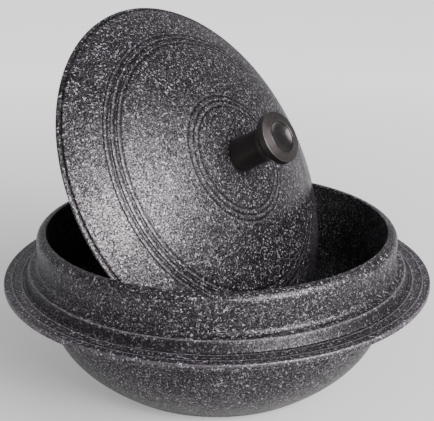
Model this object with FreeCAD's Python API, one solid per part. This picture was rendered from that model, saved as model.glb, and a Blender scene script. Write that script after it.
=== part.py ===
"""Cast dolsot-shaped casserole with its domed lid leaning in the mouth.

Millimetres, +Z up. The origin is the centre of the pot's flat foot.
The pot and the lid are turned forms, so each is a closed half section
revolved about its own axis. A section point is (radius, height).
The lid's own frame has its origin at the centre of the rim's underside
and +Z out through the knob. The lid and what it carries are modelled
there and then leaned into the mouth together.
"""
import FreeCAD, Part
import math
import os

Vector = FreeCAD.Vector
UP = Vector(0, 0, 1)

# Pot: foot and bowl
foot_radius = 95.2
foot_edge_bevel = 1.2
foot_recess_radius = 76.0
foot_recess_depth = 1.0
bowl_radius = 137.5
bowl_spring_height = 70.0
bowl_foot_angle = 53.5
bowl_low_pull = 29.6
bowl_high_pull = 34.0
bowl_wall = 3.9
floor_thickness = 5.5
floor_inset = 11.2

# Pot: brim
brim_width = 27.0
brim_rise = 9.0
brim_thickness = 4.8
brim_root_drop = 2.5
brim_root_bevel = 3.0
brim_flat = 4.0
brim_edge_bevel = 1.2
brim_groove_count = 2
brim_groove_inset = 7.3
brim_groove_pitch = 7.5
brim_groove_width = 1.8
brim_groove_depth = 0.9
ledge_width = 7.2
ledge_rise = 7.4
ledge_face_run = 3.4
ledge_bevel = 0.9

# Pot: collar and lip
collar_rise = 36.6
collar_fillet = 4.5
mouth_draft = 1.5
lip_width = 7.9
lip_shoulder = 6.5
lip_bevel = 0.6

# Lid: dome, rim and rings
lid_overlap = 7.0
lid_rim_thickness = 2.8
lid_rim_bevel = 0.6
lid_edge_run = 1.9
lid_edge_drop = 1.3
rim_groove_width = 1.4
rim_groove_depth = 0.4
dome_height = 43.4
lid_wall = 4.0
inner_ring_radius = 41.7
inner_ring_count = 3
inner_ring_pitch = 4.5
outer_ring_radius = 101.8
outer_ring_count = 3
outer_ring_pitch = 4.6
ring_width = 1.9
ring_depth = 0.75
rib_clearance = 1.4
rib_width = 3.2
rib_depth = 5.0
rib_bevel = 0.8

# Lid: seat of the knob
knob_land_margin = 1.2
boss_radius = 11.0
boss_drop = 1.2
hole_clearance = 0.4

# Knob
knob_height = 43.1
knob_foot_radius = 13.4
knob_foot_bevel = 0.8
knob_waist_radius = 12.9
knob_waist_height = 14.0
knob_neck_radius = 13.1
knob_flare_height = 13.4
knob_flange_radius = 20.1
knob_flange_bevel = 0.7
knob_flange_edge = 5.0
knob_crown_rise = 1.7
knob_ring_bevel = 0.5
cap_radius = 12.2
cap_clearance = 0.15
cap_thickness = 4.0
cap_sink = 0.5
cap_edge_width = 0.5
cap_edge_bevel = 0.2
cap_dish_depth = 2.4

# Fastening of the knob
screw_radius = 3.0
thread_clearance = 0.05
insert_radius = 5.0
insert_length = 16.0
screw_reach = 12.0
screw_end_gap = 1.5
screw_tip_bevel = 0.8
screw_head_radius = 5.6
screw_head_height = 3.4
screw_head_bevel = 1.1
screw_slot_width = 1.4
screw_slot_depth = 1.6
washer_margin = 1.9
washer_thickness = 1.2

# How the lid leans in the mouth
lid_azimuth = -36.1
lid_tilt = 60.5
lean_line_offset = 6.7
lid_rest_gap = 0.15
lean_precision = 0.001

# Sizes that follow from the ones above
inside_radius = bowl_radius - bowl_wall
mouth_radius = inside_radius + mouth_draft
collar_radius = mouth_radius + lip_width
ledge_radius = collar_radius + ledge_width
brim_radius = collar_radius + brim_width
brim_low_height = bowl_spring_height + brim_rise
brim_top = brim_low_height + brim_thickness
ledge_height = brim_top + ledge_rise
crest_height = brim_top + collar_rise
lid_radius = mouth_radius + lid_overlap
rib_radius = mouth_radius - rib_clearance
rib_inside = rib_radius - rib_width
dome_foot_radius = lid_radius - lid_edge_run
dome_rise = dome_height - lid_rim_thickness
dome_sphere = (dome_foot_radius ** 2 + dome_rise ** 2) / (2 * dome_rise)
knob_land_radius = knob_foot_radius + knob_land_margin
hole_radius = screw_radius + hole_clearance
washer_radius = screw_head_radius + washer_margin


def sphere_height(radius, drop=0.0):
    """Height of the dome's sphere at a radius; drop moves in by a wall thickness."""
    ball = dome_sphere - drop
    return dome_height - dome_sphere + math.sqrt(ball ** 2 - radius ** 2)


def point(radius, height):
    """A point of a half section, in the XZ plane."""
    return Vector(radius, 0, height)


def line(start, end):
    return Part.LineSegment(start, end).toShape()


def arc(start, middle, end):
    return Part.Arc(start, middle, end).toShape()


def blended_path(corners):
    """Straight runs through (radius, height, blend) corners.

    A positive blend is the radius of a tangent arc, a negative one the leg
    of a flat bevel, and zero leaves the corner sharp.
    """
    edges = []
    here = point(corners[0][0], corners[0][1])
    for before, corner, after in zip(corners, corners[1:], corners[2:]):
        tip = point(corner[0], corner[1])
        blend = corner[2]
        back = (point(before[0], before[1]) - tip).normalize()
        ahead = (point(after[0], after[1]) - tip).normalize()
        half = back.getAngle(ahead) / 2
        leg = blend / math.tan(half) if blend > 0 else -blend
        start = tip + back * leg
        end = tip + ahead * leg
        edges.append(line(here, start))
        if blend > 0:
            bisector = (back + ahead).normalize()
            edges.append(arc(start, tip + bisector * (blend / math.sin(half) - blend), end))
        if blend < 0:
            edges.append(line(start, end))
        here = end
    edges.append(line(here, point(corners[-1][0], corners[-1][1])))
    return edges


def groove(radius, height, width, depth):
    """Corners of a V groove turned into a level surface, from the outside in."""
    return [
        (radius + width / 2, height, 0),
        (radius, height - depth, 0),
        (radius - width / 2, height, 0),
    ]


def revolve(edges):
    """Closed half section to a solid of revolution about the vertical axis."""
    section = Part.Face(Part.Wire(Part.__sortEdges__(edges)))
    solid = section.revolve(Vector(0, 0, 0), UP, 360)
    if solid.Volume < 0:
        solid.reverse()
    return solid


def bowl_slope():
    """Direction in which the bowl's side leaves the foot."""
    angle = math.radians(bowl_foot_angle)
    return Vector(math.sin(angle), 0, math.cos(angle))


def bowl_curve(foot, spring):
    """Side of the bowl from its foot point up to where it stands upright."""
    curve = Part.BezierCurve()
    curve.setPoles([
        foot,
        foot + bowl_slope() * bowl_low_pull,
        spring - UP * bowl_high_pull,
        spring,
    ])
    return curve.toShape()


def bowl_start():
    """Where the bowl's side leaves the bevelled edge of the foot."""
    return point(foot_radius, 0) + bowl_slope() * foot_edge_bevel


def pot_foot():
    """Underside: recessed middle, the flat ring that it stands on, and its bevelled edge."""
    corners = [
        (0, foot_recess_depth, 0),
        (foot_recess_radius, foot_recess_depth, 0),
        (foot_recess_radius + foot_recess_depth, 0, 0),
        (foot_radius - foot_edge_bevel, 0, 0),
        (bowl_start().x, bowl_start().z, 0),
    ]
    return blended_path(corners)


def pot_outside():
    """Bowl, brim, ledge, collar and lip, down to where the inside starts to curve."""
    spring = point(bowl_radius, bowl_spring_height)
    corners = [
        (bowl_radius, bowl_spring_height, 0),
        (bowl_radius, brim_low_height - brim_root_drop, -brim_root_bevel),
        (brim_radius - brim_flat, brim_low_height, 0),
        (brim_radius, brim_low_height, -brim_edge_bevel),
        (brim_radius, brim_top, -brim_edge_bevel),
    ]
    for index in range(brim_groove_count):
        radius = brim_radius - brim_groove_inset - index * brim_groove_pitch
        corners += groove(radius, brim_top, brim_groove_width, brim_groove_depth)
    corners += [
        (ledge_radius + ledge_face_run, brim_top, 0),
        (ledge_radius, ledge_height, -ledge_bevel),
        (collar_radius, ledge_height + ledge_bevel, collar_fillet),
        (collar_radius, crest_height, lip_shoulder),
        (mouth_radius, crest_height, -lip_bevel),
        (inside_radius, bowl_spring_height, 0),
    ]
    return [bowl_curve(bowl_start(), spring)] + blended_path(corners)


def pot_inside():
    """Inner side of the bowl and the flat floor, ending on the axis."""
    spring = point(inside_radius, bowl_spring_height)
    floor_edge = point(foot_radius - floor_inset, floor_thickness)
    return [bowl_curve(floor_edge, spring), line(floor_edge, point(0, floor_thickness))]


def pot():
    """The whole pot, one casting."""
    closing = line(point(0, floor_thickness), point(0, foot_recess_depth))
    return revolve(pot_foot() + pot_outside() + pot_inside() + [closing])


def dome_arc(start_radius, end_radius, drop=0.0):
    """Part of the dome's section between two radii."""
    middle = (start_radius + end_radius) / 2
    ends = [point(radius, sphere_height(radius, drop)) for radius in (start_radius, middle, end_radius)]
    return arc(*ends)


def knob_seat():
    """Height of the flat land that the knob stands on."""
    return sphere_height(knob_land_radius)


def boss_level():
    """Height of the boss's face, under the lid round the screw hole."""
    return sphere_height(0, lid_wall) - boss_drop


def ring_radii():
    """Radius of every turned ring, from the axis outward."""
    inner = [inner_ring_radius + index * inner_ring_pitch for index in range(inner_ring_count)]
    outer = [outer_ring_radius + index * outer_ring_pitch for index in range(outer_ring_count)]
    return inner + outer


def lid_top():
    """Dome with its turned rings, from the knob's land out to the rim's groove."""
    edges = []
    here = knob_land_radius
    for radius in ring_radii():
        start_radius = radius - ring_width / 2
        end_radius = radius + ring_width / 2
        bottom = point(radius, sphere_height(radius) - ring_depth)
        edges.append(dome_arc(here, start_radius))
        edges.append(line(point(start_radius, sphere_height(start_radius)), bottom))
        edges.append(line(bottom, point(end_radius, sphere_height(end_radius))))
        here = end_radius
    edges.append(dome_arc(here, dome_foot_radius - rim_groove_width))
    return edges


def lid_rim():
    """Groove inside the rim, outer edge and the rib under the rim that finds the mouth."""
    groove_start = dome_foot_radius - rim_groove_width
    corners = [
        (groove_start, sphere_height(groove_start), 0),
        (groove_start + rim_groove_width / 2, lid_rim_thickness - rim_groove_depth, 0),
        (dome_foot_radius, lid_rim_thickness, 0),
        (lid_radius, lid_rim_thickness - lid_edge_drop, 0),
        (lid_radius, 0, -lid_rim_bevel),
        (rib_radius, 0, 0),
        (rib_radius, -rib_depth, -rib_bevel),
        (rib_inside, -rib_depth, 0),
        (rib_inside, sphere_height(rib_inside, lid_wall), 0),
    ]
    return blended_path(corners)


def lid_underside():
    """Inner sphere from the rib to the boss, then the screw hole up to the knob's land."""
    boss_foot = boss_radius + boss_drop
    corners = [
        (boss_foot, sphere_height(boss_foot, lid_wall), 0),
        (boss_radius, boss_level(), 0),
        (hole_radius, boss_level(), 0),
        (hole_radius, knob_seat(), 0),
        (knob_land_radius, knob_seat(), 0),
    ]
    return [dome_arc(boss_foot, rib_inside, lid_wall)] + blended_path(corners)


def lid():
    """The lid, one casting, in its own frame."""
    return revolve(lid_top() + lid_rim() + lid_underside())


def knob_stem(base):
    """Foot bevel, waisted stem and the flare that runs into the flange's edge."""
    foot = point(knob_foot_radius, base + knob_foot_bevel)
    waist = point(knob_waist_radius, base + knob_waist_height)
    flange_low = base + knob_height - knob_crown_rise - knob_flange_edge
    neck = point(knob_neck_radius, flange_low - knob_flare_height)
    edge = point(knob_flange_radius - knob_flange_bevel, flange_low - knob_flange_bevel)
    run = edge.x - neck.x
    rise = edge.z - neck.z
    sweep = (run ** 2 + rise ** 2) / (2 * run)
    middle = point(neck.x + sweep - math.sqrt(sweep ** 2 - (rise / 2) ** 2), neck.z + rise / 2)
    return [
        line(point(knob_foot_radius - knob_foot_bevel, base), foot),
        line(foot, waist),
        line(waist, neck),
        arc(neck, middle, edge),
        line(edge, point(knob_flange_radius, flange_low)),
    ]


def knob_crown(base):
    """Flange edge, its upper bevel and the conical ring that rises to the cap's pocket."""
    high = base + knob_height - knob_crown_rise
    corners = [
        (knob_flange_radius, high - knob_flange_edge, 0),
        (knob_flange_radius, high, -knob_flange_bevel),
        (cap_radius + knob_ring_bevel, base + knob_height, 0),
    ]
    return blended_path(corners)


def knob():
    """Moulded knob with a pocket for the cap and a blind bore for the bush."""
    base = knob_seat()
    top = base + knob_height
    corners = [
        (cap_radius + knob_ring_bevel, top, 0),
        (cap_radius, top - knob_ring_bevel, 0),
        (cap_radius, top - cap_sink - cap_thickness, 0),
        (0, top - cap_sink - cap_thickness, 0),
        (0, base + insert_length, 0),
        (insert_radius, base + insert_length, 0),
        (insert_radius, base, 0),
        (knob_foot_radius - knob_foot_bevel, base, 0),
    ]
    return revolve(knob_stem(base) + knob_crown(base) + blended_path(corners))


def knob_cap():
    """Dished disc seated in the knob's pocket."""
    rim = cap_radius - cap_clearance
    dish = rim - cap_edge_width
    top = knob_seat() + knob_height - cap_sink
    bottom = top - cap_dish_depth
    ball = (dish ** 2 + cap_dish_depth ** 2) / (2 * cap_dish_depth)
    middle = point(dish / 2, bottom + ball - math.sqrt(ball ** 2 - (dish / 2) ** 2))
    corners = [
        (dish, top, 0),
        (rim, top, -cap_edge_bevel),
        (rim, top - cap_thickness, 0),
        (0, top - cap_thickness, 0),
        (0, bottom, 0),
    ]
    return revolve([arc(point(0, bottom), middle, point(dish, top))] + blended_path(corners))


def knob_insert():
    """Threaded bush, open at the knob's foot."""
    base = knob_seat()
    bore = screw_radius + thread_clearance
    depth = screw_reach + screw_end_gap
    corners = [
        (bore, base, 0),
        (insert_radius, base, 0),
        (insert_radius, base + insert_length, 0),
        (0, base + insert_length, 0),
        (0, base + depth, 0),
        (bore, base + depth, 0),
        (bore, base, 0),
    ]
    return revolve(blended_path(corners))


def screw_washer():
    """Flat washer under the boss."""
    low = point(0, boss_level() - washer_thickness)
    disc = Part.makeCylinder(washer_radius, washer_thickness, low, UP)
    return disc.cut(Part.makeCylinder(hole_radius, washer_thickness, low, UP))


def knob_screw():
    """Slotted pan-head screw, up through the lid into the bush."""
    head_top = boss_level() - washer_thickness
    head_low = head_top - screw_head_height
    tip = knob_seat() + screw_reach
    corners = [
        (0, head_low, 0),
        (screw_head_radius, head_low, -screw_head_bevel),
        (screw_head_radius, head_top, 0),
        (screw_radius, head_top, 0),
        (screw_radius, tip, -screw_tip_bevel),
        (0, tip, 0),
        (0, head_low, 0),
    ]
    across = 2 * screw_head_radius
    corner = Vector(-across / 2, -screw_slot_width / 2, head_low)
    slot = Part.makeBox(across, screw_slot_width, screw_slot_depth, corner)
    return revolve(blended_path(corners)).cut(slot)


def lean_directions():
    """Unit vectors of the leaning lid: level heading, outward normal, and up along its plane."""
    azimuth = math.radians(lid_azimuth)
    tilt = math.radians(lid_tilt)
    heading = Vector(math.cos(azimuth), math.sin(azimuth), 0)
    normal = heading * math.sin(tilt) + UP * math.cos(tilt)
    rise = UP * math.sin(tilt) - heading * math.cos(tilt)
    return heading, normal, rise


def lid_centre(reach):
    """Centre of the rim's underside when the crossing line lies this far below it."""
    heading, normal, rise = lean_directions()
    return heading * lean_line_offset + UP * crest_height + rise * reach


def rim_gap(reach):
    """Least gap between the lid's lower edge and the lip's inner edge, both taken as round."""
    normal = lean_directions()[1]
    lid_ring = Part.makeCircle(lid_radius - lid_rim_bevel, lid_centre(reach) + normal * lid_rim_bevel, normal)
    lip_ring = Part.makeCircle(mouth_radius + lip_bevel, UP * (crest_height - lip_bevel), UP)
    return lid_ring.distToShape(lip_ring)[0] - lid_rim_bevel - lip_bevel


def seated_reach():
    """Slide the lid down its own plane until its edge bears on both sides of the mouth."""
    half_line = math.sqrt(mouth_radius ** 2 - lean_line_offset ** 2)
    low = math.sqrt(lid_radius ** 2 - half_line ** 2) - 2 * lid_rim_bevel
    high = lid_radius
    while high - low > lean_precision:
        middle = (low + high) / 2
        if rim_gap(middle) < lid_rest_gap:
            low = middle
        else:
            high = middle
    return high


def leaning():
    """Placement that carries the lid's own frame to its rest in the mouth."""
    turn = FreeCAD.Rotation(UP, lid_azimuth) * FreeCAD.Rotation(Vector(0, 1, 0), lid_tilt)
    return FreeCAD.Placement(lid_centre(seated_reach()), turn)


def main():
    os.makedirs("parts", exist_ok=True)
    lean = leaning()
    pot().exportStep("parts/pot.step")
    for name, make in (
        ("lid", lid),
        ("knob", knob),
        ("knob_cap", knob_cap),
        ("knob_insert", knob_insert),
        ("screw_washer", screw_washer),
        ("knob_screw", knob_screw),
    ):
        shape = make()
        shape.Placement = lean.multiply(shape.Placement)
        shape.exportStep("parts/" + name + ".step")


main()
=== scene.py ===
"""Looks for the ringed cooking pot whose domed lid leans in its mouth.

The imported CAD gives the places: the pot's box, and the washer and the cap on
the lid's axis. The pot, the lid, the knob and its cap are spun again from the
same sections with true small rounds, the fine turned rings and the rings of
the foot. Sections are (radius, height) in millimetres and meshes in metres.
"""
import math

import bpy
from mathutils import Matrix, Vector


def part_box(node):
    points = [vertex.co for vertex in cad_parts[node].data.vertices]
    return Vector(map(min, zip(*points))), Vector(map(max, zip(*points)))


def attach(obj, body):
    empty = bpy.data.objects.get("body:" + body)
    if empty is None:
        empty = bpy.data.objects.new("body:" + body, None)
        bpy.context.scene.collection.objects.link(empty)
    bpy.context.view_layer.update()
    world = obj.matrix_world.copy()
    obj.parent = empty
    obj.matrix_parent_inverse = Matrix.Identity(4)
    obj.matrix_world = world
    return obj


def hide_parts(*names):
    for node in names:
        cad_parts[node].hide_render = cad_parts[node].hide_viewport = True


MM = 0.001
UP = Vector((0, 0, 1))

# Photograph: width in pixels, and the camera that its circles give; near clip in metres
photo_width = 434
focal_pixels = 952.6
sensor_width = 36.0
camera_distance = 760.0
camera_down_angle = 19.06
look_height = 130.8
near_clip = 0.01

# Pot: foot and bowl
foot_radius = 95.2
foot_edge_round = 1.4
foot_recess_radius = 76.0
foot_recess_depth = 1.0
foot_ring_radii = (18.0, 32.0, 46.0, 60.0)
foot_ring_width = 1.6
foot_ring_depth = 0.3
bowl_radius = 137.5
bowl_spring_height = 70.0
bowl_foot_angle = 53.5
bowl_low_pull = 29.6
bowl_high_pull = 34.0
bowl_wall = 3.9
floor_thickness = 5.5
floor_inset = 11.2

# Pot: brim, ledge, collar and lip
brim_width = 27.0
brim_low_height = 79.0
brim_thickness = 4.8
brim_root_drop = 2.5
brim_root_round = 6.0
brim_flat = 4.0
brim_edge_round = 1.5
brim_groove_insets = (7.3, 14.8)
brim_groove_width = 1.8
brim_groove_depth = 0.9
ledge_width = 7.2
ledge_rise = 7.4
ledge_face_run = 3.4
ledge_round = 1.1
collar_fillet = 4.5
mouth_draft = 1.5
lip_shoulder = 6.5
lip_round = 0.8

# Lid
lid_radius = 142.1
lid_rim_thickness = 2.8
lid_rim_round = 0.6
lid_edge_run = 1.9
lid_edge_drop = 1.3
rim_groove_width = 1.4
rim_groove_depth = 0.4
dome_height = 43.4
lid_wall = 4.0
main_rings = (41.7, 46.2, 50.7, 101.8, 106.4, 111.0)
main_ring_width = 1.9
main_ring_depth = 0.75
inner_fine_ring = 35.3
outer_fine_rings = (104.4, 109.0, 113.6)
fine_ring_width = 1.4
fine_ring_depth = 0.5
rib_radius = 133.7
rib_width = 3.2
rib_depth = 5.0
rib_round = 0.9
knob_land_radius = 14.6
boss_radius = 11.0
boss_drop = 1.2
hole_radius = 3.4
washer_thickness = 1.2

# Knob and its cap, with heights above the knob's seat
knob_height = 43.1
knob_foot_radius = 13.4
knob_waist_radius = 12.9
knob_waist_height = 14.0
knob_neck_radius = 13.1
knob_flare_height = 13.4
knob_flange_radius = 20.1
knob_flange_edge = 5.0
knob_flange_round = 0.7
knob_crown_rise = 1.7
knob_ring_bevel = 0.5
knob_bore_radius = 5.0
knob_bore_depth = 16.0
cap_radius = 12.2
cap_clearance = 0.15
cap_thickness = 4.0
cap_sink = 0.5
cap_edge_width = 0.5
cap_dish_depth = 2.4

# Fineness of the spun meshes
pot_turns = 320
lid_turns = 320
knob_turns = 128
round_steps = 4
steps_per_radius = 2.0
curve_steps = 28
small_round = 0.35
dome_step = 4.0

# Coats: dark, middle and flake tones, then dark and bright specular level and roughness
outer_tones = ((0.0025, 0.0022, 0.0026), (0.013, 0.0115, 0.0135), (0.25, 0.225, 0.26))
outer_gloss = (0.06, 0.95, 0.43)
pot_gloss = (0.085, 0.80, 0.45)
inner_tones = ((0.009, 0.0085, 0.009), (0.027, 0.0255, 0.027), (0.24, 0.225, 0.24))
inner_gloss = (0.06, 0.5, 0.5)
under_tones = ((0.008, 0.0075, 0.008), (0.034, 0.032, 0.035), (0.30, 0.28, 0.31))
under_gloss = (0.10, 0.7, 0.48)
coat_index = 1.75
sheen_tint = (1.0, 0.94, 1.0, 1.0)

# Coats: share of the cells that hold a flake
pot_share = 0.075
lid_share = 0.085
inner_share = 0.12
under_share = 0.10

# Noises: size in millimetres, detail and roughness; levels that most of a noise lies between
bend_noise = (1.6, 2.0, 0.5)
stroke_noise = (2.2, 1.0, 0.5)
gate_noise = (2.0, 0.0, 0.5)
grain_noise = (1.1, 2.0, 0.7)
cloud_noise = (14.0, 3.0, 0.6)
peel_noise = (1.1, 3.0, 0.6)
noise_levels = (0.3, 0.7)

# Coats: grain, curled strokes and relief
bend_reach = 1.6
pepper_levels = (0.45, 0.78)
cloud_strength = 0.03
grain_roughness = (0.05, -0.06)
stroke_edge = (0.030, 0.012)
gate_levels = (0.56, 0.62)
peel_strength = 0.7
peel_depth = 0.18
fleck_height = 0.35

# Flakes: cell in millimetres, part of the coat's share, size and soft edge in cells
dust_flakes = (1.0, 1.6, 0.85, 0.30)
small_flakes = (1.6, 0.8, 0.60, 0.15)
large_flakes = (3.4, 0.22, 0.36, 0.10)
dust_strength = 0.5
flake_faint = 0.35

# Painted shade and painted highlight circles: offset from a ring or an edge, width and strength;
# a circle is whole over a part of its width, and the lowest level lies below every piece
# Painted shades: darker, duller circles in the grooves and rings, the collar's fillet and the
# ledge's face
brim_groove_shades = ((0.0, brim_groove_width * 0.6, 0.5),)
ledge_shades = ((-5.0, 2.4, 0.25), (1.9, 2.4, 0.6))
main_ring_shades = ((0.0, main_ring_width * 0.7, 0.75),)
fine_ring_shades = ((0.0, fine_ring_width * 0.55, 0.45),)
rim_groove_shades = ((0.0, rim_groove_width, 0.7),)
# Painted highlights: lighter lines on the groove lips and on the ledge's, brim's and main rings'
# edges
brim_groove_painted_highlights = ((1.1, 0.7, 0.20),)
ledge_painted_highlights = ((-0.4, 0.8, 0.20),)
brim_edge_painted_highlights = ((-0.4, 0.8, 0.09),)
main_ring_painted_highlights = ((1.8, 0.8, 0.05),)
# Faint lightening over the whole brim top, laid with the painted highlights
brim_top_lightening = 0.016
brim_mark_margin = 2
circle_sharpness = 3
# Share of the gloss kept under painted shade
painted_shade_gloss = 0.5
lowest_level = -10.0

# Phenolic of the knob and its cap
knob_tone = (0.0050, 0.0041, 0.0040)
knob_roughness = 0.36
knob_mottle = (3.0, 4.0, 0.6)
cap_tone = (0.0040, 0.0036, 0.0036)
cap_roughness = 0.22
cap_mottle = (5.0, 4.0, 0.6)
phenolic_tint = (1.0, 0.90, 0.89, 1.0)
mottle_pale = 1.7
mottle_levels = (0.35, 0.65)
mottle_roughness = (-0.05, 0.07)
pore_noise = (0.5, 2.0, 0.5)
pore_strength = 0.25
pore_depth = 0.08

# Turned metal of the bush, the screw and the washer
brass_tone = (0.70, 0.52, 0.24)
brass_roughness = 0.3
screw_tone = (0.56, 0.56, 0.57)
screw_roughness = 0.28
washer_tone = (0.60, 0.60, 0.60)
washer_roughness = 0.34
scratch_noise = (0.6, 5.0, 0.7)
scratch_roughness = (-0.06, 0.12)
scratch_strength = 0.2
scratch_depth = 0.05
tarnish_noise = (4.0, 3.0, 0.5)
tarnish_levels = (0.4, 0.7)
tarnish_tone = 0.62

# Floor and surroundings; the world fades over these sideways parts of a direction
floor_size = 8.0
floor_tone = (0.42, 0.42, 0.42)
floor_noise = (60.0, 3.0, 0.5)
floor_patch_tone = 0.98
floor_roughness = 0.7
floor_glow = (0.75, 2.8)
glow_reach = (0.2, 1.2)
world_tone = (0.97, 0.955, 1.0)
world_strengths = (0.66, 0.2)
world_fade = (0.2, 0.8)

# Soft boxes, in metres and watts
light_aim = (0, 0, 0.12)
key_light = {
    "place": (0.933, -1.194, 0.892),
    "width": 0.8,
    "height": 0.7,
    "power": 71.0,
    "tone": (1.0, 0.985, 0.965),
}
side_light = {
    "place": (1.225, -0.624, 1.119),
    "width": 0.7,
    "height": 0.8,
    "power": 30.0,
    "tone": (0.98, 0.98, 1.0),
}


def rounded(corners):
    """Dense section through (radius, height, round) corners; a round of zero passes through."""
    points = [Vector(corners[0][:2])]
    for before, corner, after in zip(corners, corners[1:], corners[2:]):
        tip = Vector(corner[:2])
        if not corner[2]:
            points.append(tip)
            continue
        back = (Vector(before[:2]) - tip).normalized()
        ahead = (Vector(after[:2]) - tip).normalized()
        half = back.angle(ahead) / 2
        centre = tip + (back + ahead).normalized() * (corner[2] / math.sin(half))
        start = tip + back * (corner[2] / math.tan(half)) - centre
        end = tip + ahead * (corner[2] / math.tan(half)) - centre
        steps = max(round_steps, math.ceil(corner[2] * steps_per_radius))
        for step in range(steps + 1):
            spoke = start.slerp(end, step / steps).normalized()
            points.append(centre + spoke * corner[2])
    points.append(Vector(corners[-1][:2]))
    return points


def groove(radius, surface, width, depth, inward=False):
    """Corners of a rounded V groove in a surface whose height is a function of radius."""
    reach = -width / 2 if inward else width / 2
    return [
        (radius - reach, surface(radius - reach), small_round),
        (radius, surface(radius) - depth, small_round),
        (radius + reach, surface(radius + reach), small_round),
    ]


def bezier(first, second, third, fourth):
    """Points of a cubic curve, its ends included, with no rounds."""
    corners = []
    for step in range(curve_steps + 1):
        t = step / curve_steps
        s = 1 - t
        place = first * s ** 3 + second * (3 * s * s * t) + third * (3 * s * t * t)
        place += fourth * t ** 3
        corners.append((place.x, place.y, 0))
    return corners


def spun(name, section, turns, place, inside=None):
    """Surface of revolution from a section that ends on the axis or closes on itself.

    The place goes into the mesh. Faces that the inside test takes get the second material.
    """
    doubled_area = sum(a.x * b.y - b.x * a.y for a, b in zip(section, section[1:] + section[:1]))
    if doubled_area < 0:
        section.reverse()
    closed = section[0].x > 0 and (section[0] - section[-1]).length < MM
    verts = []
    rings = []
    for point in section[:-1] if closed else section:
        count = turns if point.x > MM else 1
        rings.append([len(verts) + turn for turn in range(count)])
        for turn in range(count):
            angle = math.tau * turn / turns
            across, along = point.x * MM * math.cos(angle), point.x * MM * math.sin(angle)
            verts.append((across, along, point.y * MM))
    if closed:
        rings.append(rings[0])
    faces = []
    for low, high in zip(rings, rings[1:]):
        for turn in range(turns):
            after = (turn + 1) % turns
            if len(low) == 1:
                faces.append((low[0], high[after], high[turn]))
            elif len(high) == 1:
                faces.append((low[turn], low[after], high[0]))
            else:
                faces.append((low[turn], low[after], high[after], high[turn]))
    mesh = bpy.data.meshes.new(name)
    mesh.from_pydata(verts, [], faces)
    mesh.polygons.foreach_set("use_smooth", [True] * len(faces))
    mesh.update()
    if inside:
        line_inside(mesh, inside)
    mesh.transform(place)
    piece = bpy.data.objects.new(name, mesh)
    bpy.context.scene.collection.objects.link(piece)
    weighted = piece.modifiers.new("band_normals", "WEIGHTED_NORMAL")
    weighted.mode = "FACE_AREA"
    return piece


def line_inside(mesh, inside):
    """Second coat on the faces whose centre, normal and radius the test takes as inner."""
    for face in mesh.polygons:
        centre = face.center / MM
        radius = math.hypot(centre.x, centre.y)
        outward = (face.normal.x * centre.x + face.normal.y * centre.y) / max(radius, MM)
        face.material_index = int(inside(radius, centre.z, outward))


def pot_section():
    """Foot with its turned rings, bowl, ringed brim, ledge, collar and lip, then the inside."""
    angle = math.radians(bowl_foot_angle)
    leave = Vector((math.sin(angle), math.cos(angle)))
    side = Vector((foot_radius, 0)) + leave * foot_edge_round
    spring = Vector((bowl_radius, bowl_spring_height))
    inner_spring = spring - Vector((bowl_wall, 0))
    mouth_radius = inner_spring.x + mouth_draft
    collar_radius = brim_radius - brim_width
    brim_top = brim_low_height + brim_thickness
    ledge_height = brim_top + ledge_rise
    ledge_radius = collar_radius + ledge_width
    rise = Vector((0, bowl_high_pull))
    corners = [(0, foot_recess_depth, 0)]
    for radius in foot_ring_radii:
        corners += groove(
            radius, lambda r: foot_recess_depth, foot_ring_width, -foot_ring_depth, inward=True
        )
    corners += [
        (foot_recess_radius, foot_recess_depth, small_round),
        (foot_recess_radius + foot_recess_depth, 0, small_round),
        (foot_radius, 0, foot_edge_round),
    ]
    corners += bezier(side, side + leave * bowl_low_pull, spring - rise, spring)
    corners += [
        (bowl_radius, brim_low_height - brim_root_drop, brim_root_round),
        (brim_radius - brim_flat, brim_low_height, small_round),
        (brim_radius, brim_low_height, brim_edge_round),
        (brim_radius, brim_top, brim_edge_round),
    ]
    for inset in brim_groove_insets:
        radius = brim_radius - inset
        corners += groove(radius, lambda r: brim_top, brim_groove_width, brim_groove_depth)
    corners += [
        (ledge_radius + ledge_face_run, brim_top, small_round),
        (ledge_radius, ledge_height, ledge_round),
        (collar_radius, ledge_height + small_round, collar_fillet),
        (collar_radius, crest_height, lip_shoulder),
        (mouth_radius, crest_height, lip_round),
    ]
    floor_edge = Vector((foot_radius - floor_inset, floor_thickness))
    floor_pull = floor_edge + leave * bowl_low_pull
    corners += bezier(inner_spring, inner_spring - rise, floor_pull, floor_edge)
    corners.append((0, floor_thickness, 0))
    return rounded(corners)


def dome_level(radius, drop=0.0):
    """Height of the dome's sphere at a radius, lowered by a wall thickness."""
    foot = lid_radius - lid_edge_run
    rise = dome_height - lid_rim_thickness
    ball = (foot ** 2 + rise ** 2) / (2 * rise)
    return dome_height - ball + math.sqrt((ball - drop) ** 2 - radius ** 2)


def dome_stretch(start, end, drop=0.0):
    """Points of the dome between two radii, its ends left out."""
    steps = max(2, round(abs(end - start) / dome_step))
    radii = [start + (end - start) * step / steps for step in range(1, steps)]
    return [(radius, dome_level(radius, drop), 0) for radius in radii]


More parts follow.
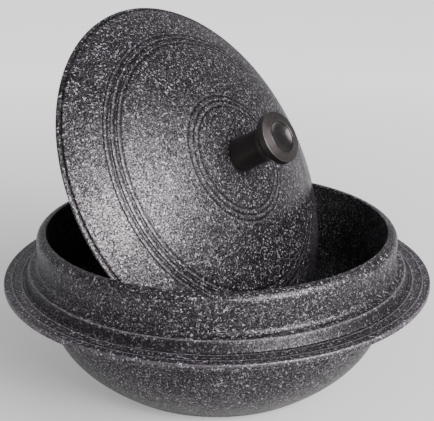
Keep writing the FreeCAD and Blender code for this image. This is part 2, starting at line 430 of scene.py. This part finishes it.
def lid_section():
    """Dome with main and fine rings, rim, rib, underside and boss, in the lid's own frame."""
    rib_inside = rib_radius - rib_width
    boss_level = dome_level(0, lid_wall) - boss_drop
    seat = dome_level(knob_land_radius)
    foot = lid_radius - lid_edge_run
    fine_rings = (inner_fine_ring, *outer_fine_rings)
    rings = [(radius, main_ring_width, main_ring_depth) for radius in main_rings]
    rings += [(radius, fine_ring_width, fine_ring_depth) for radius in fine_rings]
    corners = [(hole_radius, seat, 0), (knob_land_radius, seat, small_round)]
    here = knob_land_radius
    for radius, width, depth in sorted(rings):
        corners += dome_stretch(here, radius - width / 2)
        corners += groove(radius, dome_level, width, depth, inward=True)
        here = radius + width / 2
    groove_start = foot - rim_groove_width
    corners += dome_stretch(here, groove_start)
    corners += [
        (groove_start, dome_level(groove_start), small_round),
        (foot - rim_groove_width / 2, lid_rim_thickness - rim_groove_depth, small_round),
        (foot, lid_rim_thickness, small_round),
        (lid_radius, lid_rim_thickness - lid_edge_drop, small_round),
        (lid_radius, 0, lid_rim_round),
        (rib_radius, 0, small_round),
        (rib_radius, -rib_depth, rib_round),
        (rib_inside, -rib_depth, rib_round),
        (rib_inside, dome_level(rib_inside, lid_wall), small_round),
    ]
    corners += dome_stretch(rib_inside, boss_radius + boss_drop, lid_wall)
    corners += [
        (boss_radius + boss_drop, dome_level(boss_radius + boss_drop, lid_wall), small_round),
        (boss_radius, boss_level, small_round),
        (hole_radius, boss_level, 0),
        (hole_radius, seat, 0),
    ]
    return rounded(corners)


def knob_section(seat):
    """Stem, flare, flange, crown ring, cap pocket and the bush's bore."""
    top = seat + knob_height
    flange_low = top - knob_crown_rise - knob_flange_edge
    neck = Vector((knob_neck_radius, flange_low - knob_flare_height))
    edge = Vector((knob_flange_radius - knob_flange_round, flange_low - knob_flange_round))
    run = edge - neck
    sweep = run.length_squared / (2 * run.x)
    flare = []
    for step in range(1, curve_steps):
        height = run.y * step / curve_steps
        flare.append((neck.x + sweep - math.sqrt(sweep ** 2 - height ** 2), neck.y + height, 0))
    crown_low = Vector((knob_flange_radius, flange_low + knob_flange_edge))
    corners = [
        (0, seat + knob_bore_depth, 0),
        (knob_bore_radius, seat + knob_bore_depth, 0),
        (knob_bore_radius, seat, 0),
        (knob_foot_radius, seat, 2 * small_round),
        (knob_waist_radius, seat + knob_waist_height, 0),
        (neck.x, neck.y, 0),
    ]
    corners += flare
    corners += [
        (edge.x, edge.y, 0),
        (knob_flange_radius, flange_low, small_round),
        (crown_low.x, crown_low.y, knob_flange_round),
        (cap_radius + knob_ring_bevel, top, small_round),
        (cap_radius, top - knob_ring_bevel, small_round),
        (cap_radius, top - cap_sink - cap_thickness, 0),
        (0, top - cap_sink - cap_thickness, 0),
    ]
    return rounded(corners)


def cap_section(seat):
    """Dished disc with a rounded edge."""
    rim = cap_radius - cap_clearance
    dish = rim - cap_edge_width
    top = seat + knob_height - cap_sink
    ball = (dish ** 2 + cap_dish_depth ** 2) / (2 * cap_dish_depth)
    corners = [
        (0, top - cap_thickness, 0),
        (rim, top - cap_thickness, small_round),
        (rim, top, small_round),
        (dish, top, small_round),
    ]
    for step in range(1, curve_steps + 1):
        radius = dish * (1 - step / curve_steps)
        drop = math.sqrt(ball ** 2 - radius ** 2)
        corners.append((radius, top - cap_dish_depth + ball - drop, 0))
    return rounded(corners)


def in_bowl(radius, height, outward):
    """Whether a face of the pot belongs to its inside."""
    if radius > bowl_radius or height < floor_thickness - small_round:
        return False
    return outward < 0 or height < floor_thickness + small_round


def under_lid(radius, height, outward):
    """Whether a face of the lid belongs to its underside."""
    return radius < lid_radius - lid_rim_round and height < dome_level(radius, lid_wall / 2)


def centre(node):
    low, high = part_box(node)
    return (low + high) / 2


def lid_place():
    """Placement of the lid's own frame, from the washer and the cap on its axis."""
    washer = centre("screw_washer")
    axis = (centre("knob_cap") - washer).normalized()
    across = UP.cross(axis).normalized()
    washer_level = dome_level(0, lid_wall) - boss_drop - washer_thickness / 2
    origin = washer - axis * washer_level * MM
    turn = Matrix((across, axis.cross(across), axis)).transposed().to_4x4()
    return Matrix.Translation(origin) @ turn


class Shader:
    """Short way to add and join a material's nodes, in the frame of the piece it is for."""

    def __init__(self, name, frame_place=Matrix.Identity(4)):
        self.frame_place = frame_place
        self.material = bpy.data.materials.new(name)
        self.material.use_nodes = True
        self.tree = self.material.node_tree
        self.surface = self.tree.nodes["Principled BSDF"]

    def add(self, kind, inputs=(), **settings):
        made = self.tree.nodes.new(kind)
        for key, value in settings.items():
            setattr(made, key, value)
        for key, value in dict(inputs).items():
            self.set(made.inputs[key], value)
        return made

    def set(self, socket, value):
        if isinstance(value, bpy.types.NodeSocket):
            self.tree.links.new(value, socket)
        else:
            socket.default_value = value

    def look(self, **values):
        """Values or outputs for the surface's sockets; an underscore stands for a space."""
        for key, value in values.items():
            self.set(self.surface.inputs[key.replace("_", " ")], value)

    def math(self, operation, first, second=0.0, third=0.0):
        made = self.add("ShaderNodeMath", {0: first, 1: second, 2: third}, operation=operation)
        return made.outputs[0]

    def ramp(self, value, levels, start=0.0, end=1.0):
        """Value between a first and a last level spread, and held, over start to end."""
        inputs = {
            "Value": value,
            "From Min": levels[0],
            "From Max": levels[1],
            "To Min": start,
            "To Max": end,
        }
        return self.add("ShaderNodeMapRange", inputs).outputs["Result"]

    def blend(self, share, first, second):
        made = self.add("ShaderNodeMix", {0: share, 6: first, 7: second}, data_type="RGBA")
        return made.outputs[2]

    def place(self):
        """Position in the piece's own frame, whose third axis it is turned about."""
        inputs = {
            "Vector": self.add("ShaderNodeTexCoord").outputs["Object"],
            "Location": self.frame_place.to_translation(),
            "Rotation": self.frame_place.to_euler(),
        }
        return self.add("ShaderNodeMapping", inputs, vector_type="TEXTURE").outputs[0]

    def circle(self, place, radius, width, low):
        """One on a circle about the turning axis above a low level, zero a width away from it.

        Lengths are in millimetres.
        """
        across, along, height = self.add("ShaderNodeSeparateXYZ", {0: place}).outputs
        square = self.math("MULTIPLY_ADD", along, along, self.math("MULTIPLY", across, across))
        away = self.math("SUBTRACT", self.math("SQRT", square), radius * MM)
        fade = (width * MM, width * MM / circle_sharpness)
        band = self.ramp(self.math("ABSOLUTE", away), fade)
        return self.math("MULTIPLY", band, self.ramp(height, (low * MM, (low + 1) * MM)))

    def noise(self, place, spec):
        """Noise of a size in millimetres, detail and roughness."""
        size, detail, roughness = spec
        inputs = {
            "Vector": place,
            "Scale": 1 / (size * MM),
            "Detail": detail,
            "Roughness": roughness,
        }
        return self.add("ShaderNodeTexNoise", inputs)

    def flakes(self, place, cell, share, size, soft):
        """Irregular flakes, each with its own size and tone, in a share of the cells.

        The cells are this many millimetres across; size and soft edge are parts of a cell.
        """
        cells = self.add("ShaderNodeTexVoronoi", {"Vector": place, "Scale": 1 / (cell * MM)})
        chance = self.add("ShaderNodeSeparateColor", {0: cells.outputs["Color"]})
        reach = self.ramp(chance.outputs[0], (1 - share, 1.0), 0.0, size)
        inside = self.math("SUBTRACT", reach, cells.outputs["Distance"])
        mask = self.ramp(inside, (0.0, soft))
        tone = self.ramp(chance.outputs[1], (0.0, 1.0), flake_faint, 1.0)
        return self.math("MULTIPLY", mask, tone)

    def relief(self, height, strength, depth):
        """Bump of a height map, this many millimetres deep."""
        inputs = {"Height": height, "Strength": strength, "Distance": depth * MM}
        self.look(Normal=self.add("ShaderNodeBump", inputs).outputs["Normal"])


def bent_place(shader, place):
    """Place pushed about by noise, so that the cells in it lose their straight edges."""
    centred = {0: shader.noise(place, bend_noise).outputs["Color"], 1: (0.5, 0.5, 0.5)}
    push = shader.add("ShaderNodeVectorMath", centred, operation="SUBTRACT").outputs[0]
    scaled = {0: push, "Scale": bend_reach * MM}
    shift = shader.add("ShaderNodeVectorMath", scaled, operation="SCALE").outputs[0]
    return shader.add("ShaderNodeVectorMath", {0: place, 1: shift}).outputs[0]


def coat_flecks(shader, place, bent, share):
    """Dust, small and large flakes and short curled strokes of the coating."""
    dust, small, large = [
        shader.flakes(bent, cell, share * part, size, soft)
        for cell, part, size, soft in (dust_flakes, small_flakes, large_flakes)
    ]
    wave = shader.noise(bent, stroke_noise).outputs[0]
    line = shader.math("ABSOLUTE", shader.math("SUBTRACT", wave, 0.5))
    gate = shader.noise(place, gate_noise).outputs[0]
    curl = shader.math(
        "MULTIPLY", shader.ramp(line, stroke_edge), shader.ramp(gate, gate_levels)
    )
    fine = shader.math("MAXIMUM", shader.math("MULTIPLY", dust, dust_strength), small)
    return shader.math("MAXIMUM", fine, shader.math("MAXIMUM", large, curl))


def stone_coating(
    name, tones, gloss, share, own=Matrix.Identity(4), painted_shades=(), painted_highlights=(), low=lowest_level
):
    """Marbled coating: dense salt-and-pepper grain, curled strokes and flakes.

    Tones are dark, middle and flake; gloss is the dark and the bright parts' specular level
    and the roughness. The grain changes tone and gloss together, so it also breaks up the
    highlights. Painted shades and painted highlights are (radius, width, strength) circles
    above a low level: painted shade stays dark and dull, painted highlight is lightened.
    """
    dark, middle, flake = [(*tone, 1) for tone in tones]
    dull, bright, roughness = gloss
    shader = Shader(name, own)
    place = shader.place()
    bent = bent_place(shader, place)
    flecks = coat_flecks(shader, place, bent, share)
    grain = shader.noise(bent, grain_noise).outputs[0]
    cloud = shader.noise(place, cloud_noise).outputs[0]
    drift = shader.ramp(cloud, noise_levels, -cloud_strength, cloud_strength)
    pepper = shader.ramp(shader.math("ADD", grain, drift), pepper_levels)
    lit = shader.math("MAXIMUM", pepper, flecks)
    shine = shader.ramp(lit, (0.0, 1.0), dull, bright)
    base = shader.blend(flecks, shader.blend(pepper, dark, middle), flake)
    # Painted highlights pull the base to the flake tone and bright gloss; painted shades pull it
    # to the dark tone and dulled gloss
    marks = [(circle, flake, bright) for circle in painted_highlights]
    marks += [(circle, dark, dull * painted_shade_gloss) for circle in painted_shades]
    for (radius, width, strength), tone, level in marks:
        band = shader.circle(place, radius, width, low)
        mask = shader.math("MULTIPLY", band, strength)
        base = shader.blend(mask, base, tone)
        shine = shader.add("ShaderNodeMix", {0: mask, 2: shine, 3: level}).outputs[0]
    duller, smoother = [roughness + change for change in grain_roughness]
    shader.look(
        Base_Color=base,
        Specular_IOR_Level=shine,
        Roughness=shader.ramp(grain, noise_levels, duller, smoother),
        IOR=coat_index,
        Specular_Tint=sheen_tint,
    )
    peel = shader.noise(place, peel_noise).outputs[0]
    height = shader.math("ADD", peel, shader.math("MULTIPLY", flecks, fleck_height))
    shader.relief(height, peel_strength, peel_depth)
    return shader.material


def phenolic(name, tone, roughness, mottle_noise):
    """Moulded black plastic with a faint mottle."""
    shader = Shader(name)
    place = shader.place()
    mottle = shader.noise(place, mottle_noise).outputs[0]
    pale = [part * mottle_pale for part in tone]
    smooth, dull = [roughness + change for change in mottle_roughness]
    shader.look(
        Base_Color=shader.blend(shader.ramp(mottle, mottle_levels), (*tone, 1), (*pale, 1)),
        Roughness=shader.ramp(mottle, noise_levels, smooth, dull),
        Specular_Tint=phenolic_tint,
    )
    shader.relief(shader.noise(place, pore_noise).outputs[0], pore_strength, pore_depth)
    return shader.material


def turned_metal(name, tone, roughness):
    """Machined metal with fine scratches and a little tarnish."""
    shader = Shader(name)
    place = shader.place()
    streak = shader.noise(place, scratch_noise).outputs[0]
    stain = shader.noise(place, tarnish_noise).outputs[0]
    dark = [part * tarnish_tone for part in tone]
    smooth, dull = [roughness + change for change in scratch_roughness]
    shader.look(
        Base_Color=shader.blend(shader.ramp(stain, tarnish_levels), (*tone, 1), (*dark, 1)),
        Roughness=shader.ramp(streak, noise_levels, smooth, dull),
        Metallic=1.0,
    )
    shader.relief(streak, scratch_strength, scratch_depth)
    return shader.material


def carry(piece, node, slot, *materials):
    """Give a spun piece its materials and its body, and hide the CAD node that it stands for."""
    for material in materials:
        piece.data.materials.append(material)
    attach(piece, "root")
    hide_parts(node)


def dress(node, material):
    """New material on a CAD node that is shown as it is."""
    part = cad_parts[node]
    part.data.materials.clear()
    part.data.materials.append(material)


def soft_box(name, place, width, height, power, tone):
    """Rectangular studio light at a place, turned to the pot; lengths in metres."""
    lamp = bpy.data.lights.new(name, "AREA")
    lamp.shape = "RECTANGLE"
    lamp.size = width
    lamp.size_y = height
    lamp.energy = power
    lamp.color = tone
    holder = bpy.data.objects.new(name, lamp)
    holder.location = place
    ahead = Vector(light_aim) - Vector(place)
    holder.rotation_euler = ahead.to_track_quat("-Z", "Y").to_euler()
    bpy.context.scene.collection.objects.link(holder)


def floor_material():
    """Pale floor with a painted glow that grows the farther it lies from the pot, like a lit
    backdrop; the weaker glow near the pot is painted shade.
    """
    shader = Shader("pale_floor")
    place = shader.place()
    patch = shader.noise(place, floor_noise).outputs[0]
    shade = [part * floor_patch_tone for part in floor_tone]
    tone = shader.blend(patch, (*floor_tone, 1), (*shade, 1))
    away = shader.add("ShaderNodeVectorMath", {0: place}, operation="LENGTH").outputs["Value"]
    # Painted glow, weaker near the pot as painted shade
    shader.look(
        Base_Color=tone,
        Emission_Color=tone,
        Emission_Strength=shader.ramp(away, glow_reach, *floor_glow),
        Roughness=floor_roughness,
    )
    return shader.material


def pale_world():
    """Even pale surroundings, dimmer towards the side of the lights."""
    world = bpy.data.worlds.new("pale_world")
    world.use_nodes = True
    tree = world.node_tree
    background = tree.nodes["Background"]
    background.inputs["Color"].default_value = (*world_tone, 1)
    sideways = tree.nodes.new("ShaderNodeSeparateXYZ")
    generated = tree.nodes.new("ShaderNodeTexCoord").outputs["Generated"]
    tree.links.new(generated, sideways.inputs[0])
    fade = tree.nodes.new("ShaderNodeMapRange")
    tree.links.new(sideways.outputs[0], fade.inputs["Value"])
    fade.inputs["From Min"].default_value, fade.inputs["From Max"].default_value = world_fade
    fade.inputs["To Min"].default_value, fade.inputs["To Max"].default_value = world_strengths
    tree.links.new(fade.outputs["Result"], background.inputs["Strength"])
    return world


def studio():
    """Pale floor, pale surroundings and two soft boxes."""
    half = floor_size / 2
    corners = [(-half, -half, 0), (half, -half, 0), (half, half, 0), (-half, half, 0)]
    mesh = bpy.data.meshes.new("floor")
    mesh.from_pydata(corners, [], [(0, 1, 2, 3)])
    floor = bpy.data.objects.new("floor", mesh)
    bpy.context.scene.collection.objects.link(floor)
    floor.data.materials.append(floor_material())
    bpy.context.scene.world = pale_world()
    soft_box("key_light", **key_light)
    soft_box("side_light", **side_light)


def photo_camera():
    """Camera at the photograph's angle and distance."""
    lens = bpy.data.cameras.new("photo_camera")
    lens.sensor_width = sensor_width
    lens.lens = sensor_width * focal_pixels / photo_width
    lens.clip_start = near_clip
    down = math.radians(camera_down_angle)
    camera = bpy.data.objects.new("photo_camera", lens)
    away = camera_distance * MM
    camera.location = (0, -away * math.cos(down), look_height * MM + away * math.sin(down))
    camera.rotation_euler = (math.pi / 2 - down, 0, 0)
    bpy.context.scene.collection.objects.link(camera)
    bpy.context.scene.camera = camera


def offset_circles(radii, marks):
    """Circles at every radius, for each mark's offset, width and strength."""
    return [
        (radius + offset, width, strength)
        for offset, width, strength in marks
        for radius in radii
    ]


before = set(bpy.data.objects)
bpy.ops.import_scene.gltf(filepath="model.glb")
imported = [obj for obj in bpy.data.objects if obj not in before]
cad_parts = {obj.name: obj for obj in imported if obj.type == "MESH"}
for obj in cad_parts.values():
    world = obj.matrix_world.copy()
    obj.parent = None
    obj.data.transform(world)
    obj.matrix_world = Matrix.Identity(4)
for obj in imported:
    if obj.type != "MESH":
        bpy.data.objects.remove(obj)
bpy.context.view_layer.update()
pot_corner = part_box("pot")[1]
brim_radius = pot_corner.x / MM
crest_height = pot_corner.z / MM
leaning = lid_place()
knob_seat = dome_level(knob_land_radius)

ledge_edge = brim_radius - brim_width + ledge_width
groove_radii = [brim_radius - inset for inset in brim_groove_insets]
rim_groove_radius = lid_radius - lid_edge_run - rim_groove_width / 2
# Painted shade in the brim's grooves, the collar's fillet and over the ledge's face; painted
# highlights on the groove lips and the ledge's and brim's edges
brim_painted_shades = offset_circles(groove_radii, brim_groove_shades)
brim_painted_shades += offset_circles([ledge_edge], ledge_shades)
brim_painted_highlights = offset_circles(groove_radii, brim_groove_painted_highlights)
brim_painted_highlights += offset_circles([ledge_edge], ledge_painted_highlights)
brim_painted_highlights += offset_circles([brim_radius], brim_edge_painted_highlights)
# Faint lightening over the whole brim top
brim_middle = (ledge_edge + brim_radius) / 2
brim_painted_highlights.append((brim_middle, brim_radius - ledge_edge, brim_top_lightening))
# Painted shade in the lid's main and outer fine rings and its rim groove; painted highlight
# beside the main rings
lid_painted_shades = offset_circles(main_rings, main_ring_shades)
lid_painted_shades += offset_circles(outer_fine_rings, fine_ring_shades)
lid_painted_shades += offset_circles([rim_groove_radius], rim_groove_shades)
lid_painted_highlights = offset_circles(main_rings, main_ring_painted_highlights)

pot_coat = stone_coating(
    "pot_stone_coating", outer_tones, pot_gloss, pot_share,
    painted_shades=brim_painted_shades, painted_highlights=brim_painted_highlights, low=brim_low_height + brim_mark_margin,
)
lid_coat = stone_coating(
    "lid_stone_coating", outer_tones, outer_gloss, lid_share,
    own=leaning, painted_shades=lid_painted_shades, painted_highlights=lid_painted_highlights,
)
inner_coat = stone_coating("inner_stone_coating", inner_tones, inner_gloss, inner_share)
under_coat = stone_coating(
    "under_stone_coating", under_tones, under_gloss, under_share, own=leaning
)
knob_black = phenolic("knob_phenolic", knob_tone, knob_roughness, knob_mottle)
cap_black = phenolic("cap_phenolic", cap_tone, cap_roughness, cap_mottle)

pot = spun("stone_pot", pot_section(), pot_turns, Matrix.Identity(4), in_bowl)
carry(pot, "pot", "pot_coating", pot_coat, inner_coat)
lid = spun("stone_lid", lid_section(), lid_turns, leaning, under_lid)
carry(lid, "lid", "lid_coating", lid_coat, under_coat)
knob = spun("turned_knob", knob_section(knob_seat), knob_turns, leaning)
carry(knob, "knob", "knob_body", knob_black)
cap = spun("dished_cap", cap_section(knob_seat), knob_turns, leaning)
carry(cap, "knob_cap", "knob_cap", cap_black)
dress("knob_insert", turned_metal("bush_brass", brass_tone, brass_roughness))
dress("knob_screw", turned_metal("screw_steel", screw_tone, screw_roughness))
dress("screw_washer", turned_metal("washer_steel", washer_tone, washer_roughness))

studio()
photo_camera()
